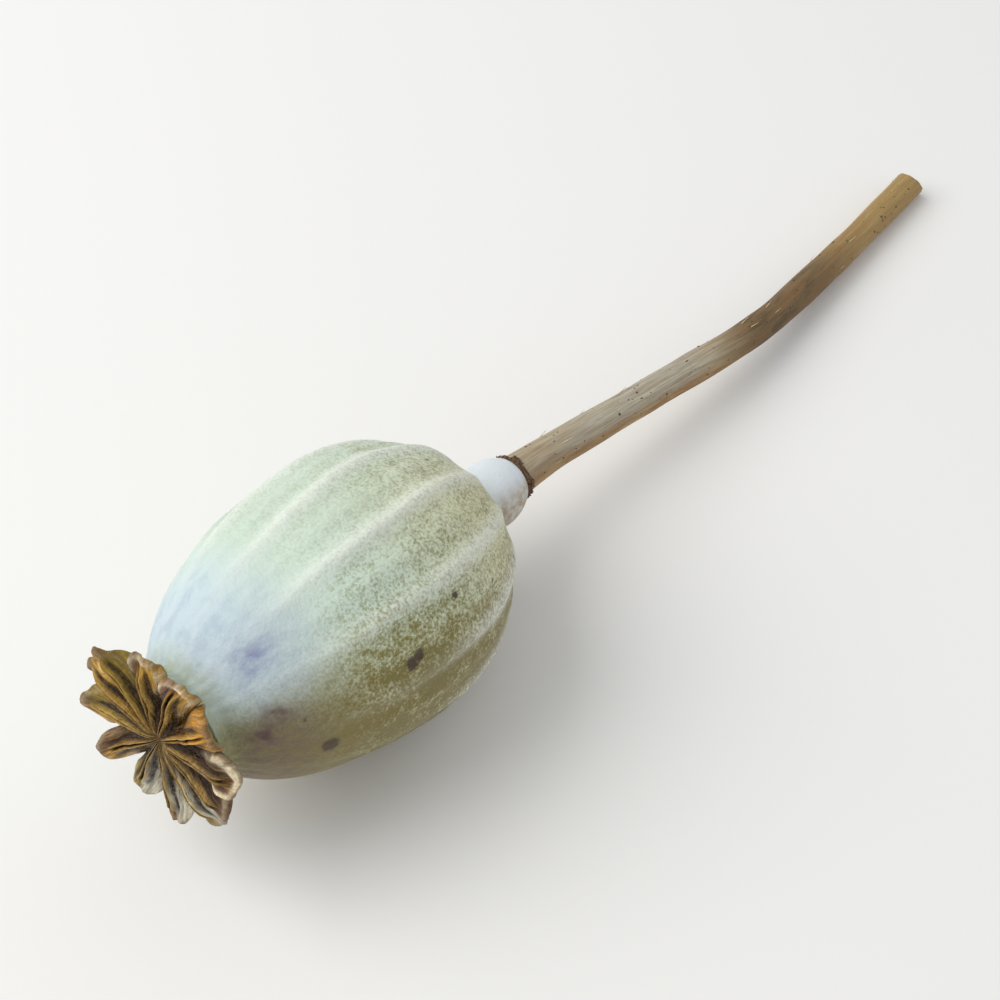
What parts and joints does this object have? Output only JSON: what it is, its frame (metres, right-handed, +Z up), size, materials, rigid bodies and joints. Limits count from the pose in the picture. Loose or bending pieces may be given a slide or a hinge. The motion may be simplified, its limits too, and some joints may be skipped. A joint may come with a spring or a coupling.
{
  "type": "poppy seed head",
  "caption": "Ribbed oval seed capsule with a lobed ray disc at its tip and a cut length of curved stem, lying on its side.",
  "frame": {"origin": "on the resting surface, below the middle of the whole", "axes": "+X from the ray disc to the cut end of the stem, +Z up"},
  "size_m": [0.1586, 0.0356, 0.0355],
  "materials": {
    "capsule_skin": "pale green skin under a matt waxy bloom, with cream ribs",
    "ray_disc": "dried golden brown, horny and slightly glossy, with pale margins",
    "stem_skin": "dry tan stem with a grey bloom and fine lengthwise streaks"
  },
  "bodies": {
    "root": {"capsule": "capsule_skin", "stigma_disc": "ray_disc", "stem": "stem_skin"}
  },
  "joints": []
}
